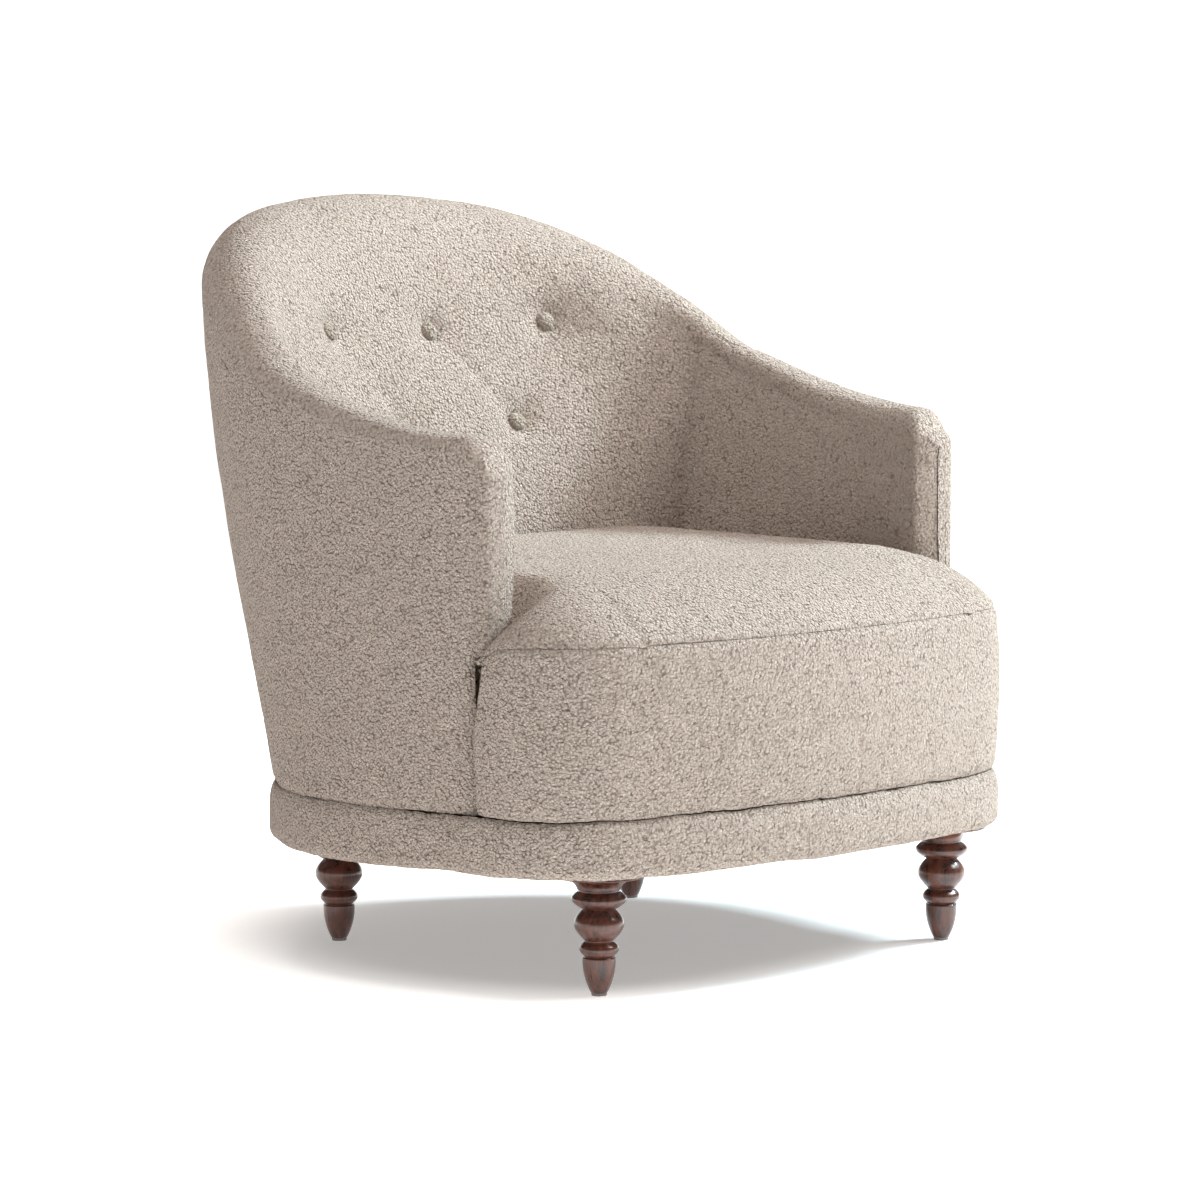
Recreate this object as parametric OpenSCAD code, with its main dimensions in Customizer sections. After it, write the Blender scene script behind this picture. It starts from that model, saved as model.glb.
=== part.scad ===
// Upholstered barrel armchair on four turned legs. Millimetres, front towards -Y, floor at z = 0.

/* [Overall] */
// Half width of the shell at its widest
half_width = 397; // [350:1:450]
// Plan half ellipse in front of the widest line
front_half = 464; // [400:1:520]
// Plan half ellipse behind the widest line
rear_half = 314; // [280:1:360]
// Height of the top of the back
back_top = 828; // [760:1:900]
// Distance the top of the back leans out behind its foot
back_lean = 150; // [60:1:180]
// Polar angle of the front end of each arm, from straight ahead
arm_end = 62; // [55:1:70]

/* [Base band] */
// Underside of the base
base_bottom = 129; // [110:1:150]
// Seam between the base band and the covers above it
seam_height = 192; // [180:1:210]
// How far the band swells beyond the seam
band_swell = 5; // [0:0.5:10]

/* [Seat] */
// Distance from the widest line to the middle of the bowed front
seat_front = 358; // [330:1:380]
// Half width of the seat in front of the arms
seat_half = 367; // [340:1:390]
// Radius of the bowed front
bow_radius = 1266; // [800:1:2000]
// Radius of the seat's front corners
corner_radius = 120; // [60:1:130]
// Height of the seam between the seat top and the front panel
seat_seam = 376; // [350:1:400]
// Rise of the crowned seat above that seam
seat_crown = 66; // [30:1:90]

/* [Arms and back] */
// Arm thickness at the front end
arm_thick = 52; // [45:1:80]
// Back thickness at the top
back_thick = 110; // [90:1:130]
// Arm height at the front end
arm_height = 589; // [560:1:640]
// Ridge height of the back against polar angle
back_line = [[108, 645], [120, 700], [135, 764], [150, 805], [165, 822], [180, 828]];
// Radius of the arm's top front corner, seen from the side
arm_nose = 28; // [15:1:45]
// Thickness of the covers
cloth = 3; // [2:0.5:4]
// Swell of the inside back cushion
back_swell = 30; // [10:1:45]

/* [Legs] */
// Front leg offset from the middle
front_leg = [265, -278]; // mm
// Rear leg offset from the middle
rear_leg = [227, 185]; // mm
// Largest ring radius
leg_ring = 29.3; // [24:0.1:34]

/* [Show] */
// Node to build, or all

/* [Hidden] */
$fn = 48;
y_mid = 50.6;
seam_a = 108;
seam_b = 118;
z_low = 408;

// ---- small helpers ----
function lerp(a, b, t) = a + (b - a) * t;
function clamp(t) = min(1, max(0, t));
function ss(t) = let (c = clamp(t)) c * c * (3 - 2 * c);
function unit(v) = v / norm(v);
function mirrored(p) = [-p[0], p[1], p[2]];
function steps(a, b, n) = [for (i = [0 : n]) lerp(a, b, i / n)];
function cubic(a, b, c, d, t) =
    0.5 * (2 * b + (c - a) * t + (2 * a - 5 * b + 4 * c - d) * t * t + (3 * b - a - 3 * c + d) * pow(t, 3));
// value of a table of [angle, value] pairs, along a smooth curve through them
function along(tab, p) =
    let (n = len(tab), i = max([for (k = [0 : n - 2]) if (p >= tab[k][0] || k == 0) k]))
    let (t = (p - tab[i][0]) / (tab[i + 1][0] - tab[i][0]))
    cubic(tab[max(0, i - 1)][1], tab[i][1], tab[i + 1][1], tab[min(n - 1, i + 2)][1], t);

// ---- the shell's surfaces; p is the polar angle, 0 straight ahead and 180 at the back ----
function shell_r(p) =
    1 / sqrt(pow(sin(p) / half_width, 2) + pow(cos(p) / (p < 90 ? front_half : rear_half), 2));
function foot(p) = shell_r(p) * [sin(p), -cos(p)];
function normal(p) =
    let (f = foot(p), b = p < 90 ? front_half : rear_half)
    unit([f[0] / pow(half_width, 2), f[1] / pow(b, 2)]);
function across(p) = unit(lerp([1, 0], normal(p), ss((p - arm_end) / 12)));
function lean_top(p) = back_lean * ss((p - 90) / 73) - (p < 120 ? 13 * pow(sin(3 * (p - 60)), 2) : 0);
function lean(p, z) =
    let (g = (z - seam_height) / (back_top - seam_height)) lean_top(p) * (2.12 * g - 1.12 * g * g);
function nose(p) = let (a = min(arm_nose, (p - arm_end) * 7.2)) arm_nose - sqrt(a * (2 * arm_nose - a));
function ridge(p) =
    p < seam_a ? arm_height + 50 * pow((p - arm_end) / 43, 1.8) - nose(p) : along(back_line, p);
function thick(p) = arm_thick + 6 * ss((p - arm_end) / 12) + (back_thick - 58) * ss((p - 95) / 75);
function roll_h(p) = 26 + 31 * ss((p - 95) / 75);
function roll_e(p) = lerp(0.78, 1, ss((p - 95) / 60));
function power(v, e) = sign(v) * pow(abs(v), e);
// foot of the inside surface at the height z_low
function inner_foot(p) =
    p < seam_b ? lerp([311, -192], [262, 146], (p - arm_end) / (seam_b - arm_end))
    : let (x = 262 * (180 - p) / (180 - seam_b)) [x, 146 + 25 * (1 - pow(x / 262, 2))];
function swell(p) = p < seam_b ? 3 : back_swell * pow(sin(90 * clamp((p - seam_b) / 45)), 0.8);
function place(p, s, z) = let (o = foot(p) + across(p) * s) [o[0], o[1], z];
// q from 0 to 1 up the outside, 1 to 2 over the roll, 2 to 3 down the inside; d is the depth below the cloth
function surf(p, q, d) =
    let (zt = ridge(p) - roll_h(p), w = thick(p) / 2, sc = lean(p, zt) - w)
    q <= 1 ? let (z = lerp(seam_height + 1, zt, q)) place(p, lean(p, z) - d, z)
    : q <= 2 ? place(p, sc + (w - d) * power(cos(180 * (q - 1)), roll_e(p)),
                     zt + (roll_h(p) - d) * power(sin(180 * (q - 1)), roll_e(p)))
    : let (t = q - 2, a = place(p, sc - w + d, zt), f = inner_foot(p) + across(p) * d)
      let (b = [f[0], f[1], z_low], m = across(p) * swell(p) * sin(180 * t))
      lerp(a, b, t) - [m[0], m[1], 0];
// the faces of a sheet that stands inside the wall, its middle at the depth c, half its thickness h
function core(p, q, c, h) =
    let (zt = ridge(p) - roll_h(p), zc = q <= 1 ? lerp(seam_height + 8, zt, q) : zt)
    let (side = q <= 1 ? 1 : q >= 2 ? -1 : cos(180 * (q - 1)))
    let (z = q <= 1 ? zc : q <= 2 ? zt + h * sin(180 * (q - 1)) : lerp(zt, z_low, q - 2))
    place(p, lean(p, z) - c + h * side, z);

// ---- plan outlines ----
bow_y = -seat_front + bow_radius;
corner_x = seat_half - corner_radius;
corner_y = bow_y - sqrt(pow(bow_radius - corner_radius, 2) - corner_x * corner_x);
corner_turn = atan2(bow_y - corner_y, corner_x);
// a from -1 to 1 across the seat's front outline, offset outwards by o
function front_line(a, o) =
    let (b = abs(a), s = sign(a))
    b < 0.6 ? let (g = (90 - corner_turn) * b / 0.6)
              [s * (bow_radius + o) * sin(g), bow_y - (bow_radius + o) * cos(g)]
    : let (g = corner_turn * (1 - (b - 0.6) / 0.4))
      [s * (corner_x + (corner_radius + o) * cos(g)), corner_y - (corner_radius + o) * sin(g)];
// closed outline of the base, offset outwards by o
function base_line(o) = concat(
    [for (a = steps(-1, 1, 24)) front_line(a, o)],
    [for (p = steps(arm_end + 4, 360 - arm_end - 4, 40))
        let (m = p <= 180 ? p : 360 - p, v = foot(m) + normal(m) * o) [p <= 180 ? v[0] : -v[0], v[1]]]);

// ---- solids from grids of points ----
// a closed solid between two grids of the same shape; wrap joins the first row to the last
module skin(a, b, wrap = false) {
    r = len(a);
    c = len(a[0]);
    n = r * c;
    pts = concat([for (row = a) each row], [for (row = b) each row]);
    last = wrap ? r - 1 : r - 2;
    function at(i, j) = (i % r) * c + j;
    sides = [for (i = [0 : last], j = [0 : c - 2])
        each [[at(i, j), at(i + 1, j), at(i + 1, j + 1)], [at(i, j), at(i + 1, j + 1), at(i, j + 1)],
              [n + at(i, j), n + at(i + 1, j + 1), n + at(i + 1, j)],
              [n + at(i, j), n + at(i, j + 1), n + at(i + 1, j + 1)]]];
    rims = [for (i = [0 : last])
        each [[at(i, 0), n + at(i, 0), n + at(i + 1, 0)], [at(i, 0), n + at(i + 1, 0), at(i + 1, 0)],
              [at(i, c - 1), n + at(i + 1, c - 1), n + at(i, c - 1)],
              [at(i, c - 1), at(i + 1, c - 1), n + at(i + 1, c - 1)]]];
    ends = wrap ? [] : [for (j = [0 : c - 2])
        each [[at(0, j), at(0, j + 1), n + at(0, j + 1)], [at(0, j), n + at(0, j + 1), n + at(0, j)],
              [at(r - 1, j), n + at(r - 1, j + 1), at(r - 1, j + 1)],
              [at(r - 1, j), n + at(r - 1, j), n + at(r - 1, j + 1)]]];
    translate([0, -y_mid, 0]) polyhedron(points = pts, faces = concat(sides, rims, ends), convexity = 8);
}

// ---- legs ----
function bead(z0, z1, r0, r1, n = 8) =
    [for (i = [0 : n]) [r0 + (r1 - r0) * sin(180 * i / n), lerp(z0, z1, i / n)]];
leg_line = concat(
    [[0, 3], [8.6, 3]],
    [for (i = [1 : 9]) let (t = i / 10) [8.6 + 9 * pow(sin(180 * pow(t, 0.8) / 1.85), 1.1), lerp(3, 41, t)]],
    bead(41, 58.8, 14.5, 21.1),
    bead(58.8, 94.1, 15.5, 26.6, 12),
    bead(94.1, 112, 21, leg_ring),
    [for (i = [1 : 8]) [23 + 25.5 * (1 - cos(90 * i / 8)), lerp(112, base_bottom - 2, sin(90 * i / 8))]],
    [[48.5, base_bottom], [0, base_bottom]]);
module leg(at) {
    color([0.23, 0.09, 0.06])
        translate([at[0], at[1] - y_mid, 0])
            difference() {
                rotate_extrude($fn = 64) polygon(leg_line);
                translate([0, 0, base_bottom - 40]) cylinder(r = 4, h = 41, $fn = 32);
            }
}
module glide(at) {
    color([0.55, 0.55, 0.53])
        translate([at[0], at[1] - y_mid, 0]) cylinder(r1 = 8, r2 = 8.5, h = 3, $fn = 48);
}
module leg_front_left() leg(front_leg);
module leg_front_right() leg([-front_leg[0], front_leg[1]]);
module leg_rear_left() leg(rear_leg);
module leg_rear_right() leg([-rear_leg[0], rear_leg[1]]);
module glide_front_left() glide(front_leg);
module glide_front_right() glide([-front_leg[0], front_leg[1]]);
module glide_rear_left() glide(rear_leg);
module glide_rear_right() glide([-rear_leg[0], rear_leg[1]]);
leg_places = [front_leg, [-front_leg[0], front_leg[1]], rear_leg, [-rear_leg[0], rear_leg[1]]];
module hanger_bolts() {
    color([0.62, 0.62, 0.6])
        for (at = leg_places)
            translate([at[0], at[1] - y_mid, base_bottom - 38]) cylinder(r = 3.9, h = 74, $fn = 32);
}
module tee_nuts() {
    color([0.6, 0.6, 0.58])
        for (at = leg_places)
            translate([at[0], at[1] - y_mid, base_bottom + 22])
                difference() {
                    union() {
                        cylinder(r = 11, h = 1.6, $fn = 48);
                        translate([0, 0, -10]) cylinder(r = 5, h = 11, $fn = 32);
                    }
                    translate([0, 0, -11]) cylinder(r = 4, h = 14, $fn = 32);
                }
}

// ---- timber frame ----
module ring(z0, h, outer, inner, holes) {
    translate([0, -y_mid, z0])
        difference() {
            linear_extrude(height = h) polygon(base_line(outer));
            translate([0, 0, -1]) linear_extrude(height = h + 2) polygon(base_line(inner));
            if (holes > 0)
                for (at = leg_places)
                    translate([at[0], at[1], -1]) cylinder(r = holes, h = h + 2, $fn = 32);
        }
}
module base_ring() {
    color([0.82, 0.68, 0.47]) ring(base_bottom + 3, 18, -12, -85, 5.2);
}
module corner_blocks() {
    color([0.8, 0.66, 0.44])
        for (s = [-1, 1]) {
            translate([s * 222 - 25, -305 - y_mid, base_bottom + 23.8]) cube([50, 50, 85]);
            translate([s * 178 - 25, 165 - y_mid, base_bottom + 23.8]) cube([50, 42, 85]);
        }
}
module frame_posts() {
    color([0.8, 0.66, 0.44])
        for (s = [-1, 1], at = [[338, -110], [350, 40], [130, 232]])
            translate([s * at[0] - 15, at[1] - 20 - y_mid, base_bottom + 21.5]) cube([30, 40, 88]);
}
module seat_ring() {
    color([0.82, 0.68, 0.47]) ring(base_bottom + 110, 45, -26, -58, 0);
}
// the two faces of a bent plywood sheet that stands inside the wall
function panel_face(p, q, c) =
    let (zt = ridge(p) - roll_h(p), z = lerp(seam_height + 8, zt, q)) place(p, lean(p, z) - c, z);
module wall_panel(ps) {
    color([0.85, 0.72, 0.5])
        skin([for (p = ps) [for (q = steps(0.3, 1, 5)) full(p, panel_face(half(p), q, 23.5))]],
             [for (p = ps) [for (q = steps(0.3, 1, 5)) full(p, panel_face(half(p), q, 34.5))]]);
}
module arm_panel_left() wall_panel(steps(arm_end + 3, 106, 9));
module arm_panel_right() mirror([1, 0, 0]) wall_panel(steps(arm_end + 3, 106, 9));
function full(p, v) = p <= 180 ? v : mirrored(v);
function half(p) = p <= 180 ? p : 360 - p;
back_ps = steps(107, 253, 26);
module back_panel() wall_panel(back_ps);

// ---- suspension ----
spring_x = [-200, -100, 0, 100, 200];
function rear_y(x) = (rear_half - 40) * sqrt(1 - pow(x / (half_width - 40), 2));
function spring_path(n, x) = [for (i = [0 : n])
    let (t = i / n, y = lerp(-305, rear_y(x) - 6, t))
    [24 * sin(360 * 9 * t), y, base_bottom + 158 + 14 * sin(180 * t)]];
module wire(path, r) {
    n = len(path);
    ring_pts = [for (i = [0 : n - 1], k = [0 : 5])
        let (t = unit(path[min(i + 1, n - 1)] - path[max(i - 1, 0)]), u = unit(cross(t, [0, 0, 1])))
        path[i] + r * (cos(60 * k) * u + sin(60 * k) * cross(u, t))];
    sides = [for (i = [0 : n - 2], k = [0 : 5])
        let (a = i * 6 + k, b = i * 6 + (k + 1) % 6) each [[a, b, b + 6], [a, b + 6, a + 6]]];
    caps = [for (k = [1 : 4]) each [[0, k + 1, k], [(n - 1) * 6, (n - 1) * 6 + k, (n - 1) * 6 + k + 1]]];
    polyhedron(points = ring_pts, faces = concat(sides, caps));
}
module seat_springs() {
    color([0.5, 0.5, 0.52])
        for (x = spring_x) translate([x, -y_mid, 0]) wire(spring_path(72, x), 1.9);
}
module spring_clips() {
    color([0.45, 0.45, 0.46])
        for (x = spring_x, y = [-314, rear_y(x) - 4])
            translate([x - 9, y - y_mid, base_bottom + 155.5]) cube([18, 8, 6]);
}

// ---- stuffing ----
// rows of the seat, front to back: g 0 to 1 in front of the arms, 1 to 2 between them
function seat_edge(a, g, o) =
    g <= 1 ? lerp(front_line(a, o), [(seat_half + o) * a, -197], g)
    : let (u = g - 1, x0 = 308 + o, x1 = 254 + o)
      [a * lerp(x0, x1, u), lerp(-194, 138 + o + 25 * (1 - a * a), u)];
function inset(x, y) =
    let (dx = seat_half - abs(x), dy = y - bow_y + sqrt(pow(bow_radius, 2) - x * x))
    let (cx = abs(x) - corner_x, cy = corner_y - y)
    cx > 0 && cy > 0 ? corner_radius - norm([cx, cy]) : min(dx, dy);
function crown(x, y) = let (t = clamp(inset(x, y) / 180)) seat_seam + seat_crown * (1 - pow(1 - t, 3));
seat_rows = concat([0, 0.05, 0.14, 0.3, 0.5, 0.75, 1], steps(1.001, 2, 7));
function seat_grid(o, drop, floor_z) = [for (g = seat_rows) [for (a = steps(-1, 1, 20))
    let (e = seat_edge(a, g, o)) [e[0], e[1], floor_z > 0 ? floor_z : crown(e[0], e[1]) - drop]]];
module seat_insulator() {
    color([0.55, 0.55, 0.5])
        translate([0, -y_mid, base_bottom + 176])
            linear_extrude(height = 4)
                polygon(concat([for (a = steps(-0.8, 0.8, 12)) front_line(a, -30)],
                               [[300, -185], [246, 130], [-246, 130], [-300, -185]]));
}
module seat_foam() {
    color([0.93, 0.88, 0.62]) skin(seat_grid(-cloth - 1, cloth + 0.5, 0), seat_grid(-cloth - 1, 0, 312));
}
module front_pad() {
    color([0.93, 0.9, 0.7])
        skin([for (a = steps(-1, 1, 24)) [for (z = [seam_height + 8, 250, 308])
                 let (e = front_line(a, -cloth - 0.5)) [e[0], e[1], z]]],
             [for (a = steps(-1, 1, 24)) [for (z = [seam_height + 8, 250, 308])
                 let (e = front_line(a, -18)) [e[0], e[1], z]]]);
}
wall_q = concat(steps(0.04, 1, 4), [1.15, 1.3, 1.5, 1.7, 1.85], steps(2, 2.9, 4));
arm_ps = concat([arm_end + 0.6, arm_end + 2, arm_end + 4], steps(69, 105, 7));
module arm_stuffing() {
    color([0.93, 0.88, 0.62])
        skin([for (p = arm_ps) [for (q = wall_q) surf(p, q, cloth + 0.4)]],
             [for (p = arm_ps) [for (q = wall_q) core(p, q, 29, 6)]]);
}
module arm_foam_left() arm_stuffing();
module arm_foam_right() mirror([1, 0, 0]) arm_stuffing();
module back_foam() {
    color([0.93, 0.88, 0.62])
        skin([for (p = back_ps) [for (q = wall_q) full(p, surf(half(p), q, cloth + 0.4))]],
             [for (p = back_ps) [for (q = wall_q) full(p, core(half(p), q, 29, 6))]]);
}

// ---- covers ----
function seam_at(q) = q <= 1.5 ? seam_a : q <= 2 ? lerp(seam_a, seam_b, ss((q - 1.5) * 2)) : seam_b;
cover_q = concat([0.97, 1], [1.12, 1.25, 1.38, 1.5, 1.62, 1.75, 1.88], steps(2, 2.96, 5));
arm_ts = concat([0, 0.01, 0.025, 0.05, 0.085], steps(0.16, 0.995, 8));
function arm_skin(d) = [for (t = arm_ts) [for (q = cover_q) surf(lerp(arm_end, seam_at(q), t), q, d)]];
module inside_arm() {
    color([0.86, 0.83, 0.77]) skin(arm_skin(0), arm_skin(cloth));
}
// the facing that closes the arm's front end
module arm_facing() {
    color([0.86, 0.83, 0.77])
        skin([for (h = steps(0, 1, 5)) [for (w = steps(0, 1, 4)) facing(w, h, 0)]],
             [for (h = steps(0, 1, 5)) [for (w = steps(0, 1, 4)) facing(w, h, -cloth)]]);
}
// a point of the arm's front face, w from outside to inside, h from the seat up to the top
function facing(w, h, o) =
    let (zt = ridge(arm_end) - roll_h(arm_end))
    let (x = lerp(foot(arm_end)[0] - 0.5, foot(arm_end)[0] - arm_thick + 0.5, w))
    let (top = zt + roll_h(arm_end) * power(sin(180 * lerp(0.04, 0.96, w)), roll_e(arm_end)))
    [x, foot(arm_end)[1] - 0.2 + o, lerp(lerp(seat_seam - 14, seat_seam + 10, w), top, h)];
module inside_arm_cover_left() inside_arm();
module inside_arm_cover_right() mirror([1, 0, 0]) inside_arm();
module arm_facing_left() arm_facing();
module arm_facing_right() mirror([1, 0, 0]) arm_facing();
function back_skin(d) = [for (p = steps(-1, 1, 28)) [for (q = cover_q)
    let (m = lerp(180, seam_at(q), abs(p) * 0.997), v = surf(m, q, d)) p < 0 ? v : mirrored(v)]];
module inside_back_cover() {
    color([0.86, 0.83, 0.77]) skin(back_skin(0), back_skin(cloth));
}
outer_q = steps(0, 0.965, 6);
module outside_arm() {
    color([0.84, 0.81, 0.75])
        skin([for (p = steps(arm_end, 147.6, 16)) [for (q = outer_q) surf(p, q, 0)]],
             [for (p = steps(arm_end, 147.6, 16)) [for (q = outer_q) surf(p, q, cloth)]]);
}
module outside_arm_cover_left() outside_arm();
module outside_arm_cover_right() mirror([1, 0, 0]) outside_arm();
module outside_back_cover() {
    color([0.84, 0.81, 0.75])
        skin([for (p = steps(148, 212, 14)) [for (q = outer_q) full(p, surf(half(p), q, 0))]],
             [for (p = steps(148, 212, 14)) [for (q = outer_q) full(p, surf(half(p), q, cloth))]]);
}
module seat_top_cover() {
    color([0.88, 0.85, 0.79]) skin(seat_grid(-0.5, 0, 0), seat_grid(-0.5, cloth, 0));
}
boxing_z = [seam_height + 1, seam_height + 10, 240, 290, 335, 362, seat_seam - 3.5];
function seat_bulge(z) = 5 * sin(180 * (z - seam_height) / (seat_seam - seam_height));
function boxing(d) = [for (a = steps(-1, 1, 30)) [for (z = boxing_z)
    let (o = seat_bulge(z), e = front_line(a, o - d)) [e[0], e[1], z]]];
module seat_boxing_cover() {
    color([0.88, 0.85, 0.79]) skin(boxing(0), boxing(cloth));
    color([0.88, 0.85, 0.79])
        for (s = [-1, 1])
            skin(wing_grid(s, s > 0 ? 0 : cloth), wing_grid(s, s > 0 ? cloth : 0));
}
function wing_grid(s, d) =
    [for (y = [corner_y + 0.5, -203, -192.8])
        [for (z = boxing_z) [s * (seat_half - d + seat_bulge(z)), y, z]]];
// section of the base band, u along the cloth from the seam down and under, d the depth
function band(u, d) =
    u <= 1 ? let (z = lerp(seam_height - 1, base_bottom + 8, u))
        [band_swell * pow(sin(180 * min(u, 0.55)), 0.7) - d, z]
    : u <= 2 ? let (g = 90 * (u - 1)) [band_swell - 8 + (8 - d) * cos(g), base_bottom + 8 - (8 - d) * sin(g)]
    : [lerp(band_swell - 8, -22, u - 2), base_bottom + d];
band_u = [0, 0.1, 0.3, 0.6, 1, 1.35, 1.7, 2, 3];
function band_grid(d) = [for (v = [0 : len(base_line(0)) - 1]) [for (u = band_u)
    let (b = band(u, d), e = base_line(b[0])[v]) [e[0], e[1], b[1]]]];
module base_band_cover() {
    color([0.86, 0.83, 0.77]) skin(band_grid(0), band_grid(cloth), true);
}
module dust_cover() {
    color([0.05, 0.05, 0.05])
        translate([0, -y_mid, base_bottom - 1])
            difference() {
                linear_extrude(height = 0.8) polygon(base_line(-17));
                for (at = leg_places) translate([at[0], at[1], -1]) cylinder(r = 49.5, h = 3, $fn = 64);
            }
}
module dust_cover_staples() {
    line = base_line(-21);
    color([0.7, 0.7, 0.7])
        for (i = [1 : 3 : len(line) - 1])
            if (min([for (at = leg_places) norm(line[i] - at)]) > 60)
                translate([line[i][0], line[i][1] - y_mid, base_bottom - 1.8]) cube([6, 0.9, 0.79]);
}

// ---- buttons: x, height ----
button_at = [[0, 676], [163, 682], [-163, 682], [86, 572], [-86, 572]];
// the point of the inside back at the given x and height, found by walking down the surface
function face_y(x, z, lo = 107, hi = 180, n = 30) =
    let (p = (lo + hi) / 2, q = face_q(p, z), v = surf(p, q, 0))
    n == 0 ? v[1] : v[0] > abs(x) ? face_y(x, z, p, hi, n - 1) : face_y(x, z, lo, p, n - 1);
function face_q(p, z) = 2 + clamp((ridge(p) - roll_h(p) - z) / (ridge(p) - roll_h(p) - z_low));
module button(k) {
    x = button_at[k][0];
    z = button_at[k][1];
    color([0.85, 0.82, 0.75])
        translate([x, face_y(x, z) - y_mid, z])
            rotate([62, 0, atan2(-x, 560)])
                rotate_extrude($fn = 48)
                    polygon(concat([[0, 0.5], [10, 0.5], [10.5, 1.5]],
                                   [for (i = [1 : 8]) [10.5 * cos(11.25 * i), 1.5 + 5.5 * sin(11.25 * i)]]));
}
module tuft_button_1() button(0);
module tuft_button_2() button(1);
module tuft_button_3() button(2);
module tuft_button_4() button(3);
module tuft_button_5() button(4);

leg_front_left();
leg_front_right();
leg_rear_left();
leg_rear_right();
glide_front_left();
glide_front_right();
glide_rear_left();
glide_rear_right();
hanger_bolts();
tee_nuts();
base_ring();
corner_blocks();
frame_posts();
seat_ring();
arm_panel_left();
arm_panel_right();
back_panel();
seat_springs();
spring_clips();
seat_insulator();
seat_foam();
front_pad();
arm_foam_left();
arm_foam_right();
back_foam();
seat_top_cover();
seat_boxing_cover();
inside_arm_cover_left();
inside_arm_cover_right();
arm_facing_left();
arm_facing_right();
inside_back_cover();
outside_arm_cover_left();
outside_arm_cover_right();
outside_back_cover();
base_band_cover();
dust_cover();
dust_cover_staples();
tuft_button_1();
tuft_button_2();
tuft_button_3();
tuft_button_4();
tuft_button_5();
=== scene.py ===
import math
import bpy
import numpy as np
from mathutils import Matrix, Vector


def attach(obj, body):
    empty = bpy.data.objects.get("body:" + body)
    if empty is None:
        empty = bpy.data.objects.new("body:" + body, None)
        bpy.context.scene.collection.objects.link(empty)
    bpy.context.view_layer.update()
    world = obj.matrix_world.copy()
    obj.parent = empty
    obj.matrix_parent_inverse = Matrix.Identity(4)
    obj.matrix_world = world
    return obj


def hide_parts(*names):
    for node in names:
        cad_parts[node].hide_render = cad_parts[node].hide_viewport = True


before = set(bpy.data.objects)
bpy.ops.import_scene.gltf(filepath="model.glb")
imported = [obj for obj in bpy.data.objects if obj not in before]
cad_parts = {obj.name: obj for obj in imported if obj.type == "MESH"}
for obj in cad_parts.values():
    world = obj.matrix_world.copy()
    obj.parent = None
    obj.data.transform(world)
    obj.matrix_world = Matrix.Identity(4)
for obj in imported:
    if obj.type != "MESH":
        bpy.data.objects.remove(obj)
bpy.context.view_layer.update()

# ---------------------------------------------------------------- sizes, in millimetres and degrees
# The scene's shell, seat and base follow the CAD part's outlines. Angles run round the shell from
# straight ahead, 0, to the middle of the back, 180.
ORIGIN_Y = 50.6                             # the frame's origin lies this far behind the shell's widest line
HALF_W, FRONT_R, REAR_R = 397., 464., 314.  # the shell's outline: half width, front and rear half ellipses
FOOT_Z, TOP_Z, LEAN = 192., 828., 150.      # the shell's foot, its highest point, and how far that leans out
ARM_END = 62.                               # the arms' front end
ARM_SEAM, FOOT_SEAM = 108., 118.            # where arm and back meet, at the roll and down at the seat
BACK_SEAM = 147.8                           # where the outside covers meet the outside back
BACK_LINE = np.array([[108, 645], [120, 700], [135, 764], [150, 805], [165, 822], [180, 828]], float)
ARM_TOP_Z, ARM_RISE, NOSE_R = 589., 50., 28.    # the arm's end, its rise towards the back, its rounded nose
BACK_FROM, BACK_OVER = 95., 75.             # the arm's section grows into the back's from here, over so far
INSIDE_FOOT_Z = 408.                        # foot of the inside covers' section, at q = 3
INSIDE_X = (311., 262.)                     # the inside arm's foot: half width in front and at the back
INSIDE_Y = (-192., 146.)                    # where those two points lie, front to back
SEAT_FRONT, SEAT_X = 358., 367.             # the seat's bowed front and its sides
BOW_R, CORNER_R = 1266., 120.               # radius of the bow and of the front corners
SEAM_Z, CROWN = 376., 66.                   # seam round the seat's top, and the crown over it
BASE_Z = 129.                               # underside of the base
LEGS = (("front_left", 265, -278), ("front_right", -265, -278),
        ("rear_left", 227, 185), ("rear_right", -227, 185))
BUTTONS = [(0, 676), (163, 682), (-163, 682), (86, 572), (-86, 572)]
PULLS = ((0, 3), (0, 4), (1, 3), (2, 4))    # pairs of buttons with a faint pull between them

COVER_Q = .968                              # seam between outside and inside covers, just under the roll
INSIDE_END_Q, BACK_END_Q = 3.12, 3.1        # the inside covers end here, a little under their foot
STEP = 2.5                                  # grid step of the inside covers
MIRROR = np.array([-1., 1., 1.])
SIDES = (("left", 1), ("right", -1))

BOW_Y = -SEAT_FRONT + BOW_R                 # centre of the bow
CORNER_X = SEAT_X - CORNER_R                # centre of the corners
CORNER_Y = BOW_Y - math.sqrt((BOW_R - CORNER_R) ** 2 - CORNER_X ** 2)
CORNER_TURN = math.degrees(math.atan2(BOW_Y - CORNER_Y, CORNER_X))
CORNER_AT = .6                              # where the corner starts on front_line, which runs from -1 to 1


def lerp(a, b, t):
    return a + (b - a) * t


def ease(t):
    """0 to 1 with soft ends, as t goes from 0 to 1."""
    c = np.clip(t, 0, 1)
    return c * c * (3 - 2 * c)


def near(d, width, sharp=1.5):
    """1 at distance 0, fading to 0 over a few widths."""
    return np.exp(-(d / width) ** sharp)


def rounded(t, e=2):
    """0 to 1, steep at first and level at the end."""
    return 1 - (1 - np.clip(t, 0, 1)) ** e


def unit(v):
    return v / np.maximum(np.linalg.norm(v, axis=-1, keepdims=True), 1e-12)


def signed_power(v, e):
    return np.sign(v) * np.abs(v) ** e


def running_length(line):
    steps = np.linalg.norm(np.diff(line, axis=0), axis=1)
    return np.concatenate([[0], np.cumsum(steps)])


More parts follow.
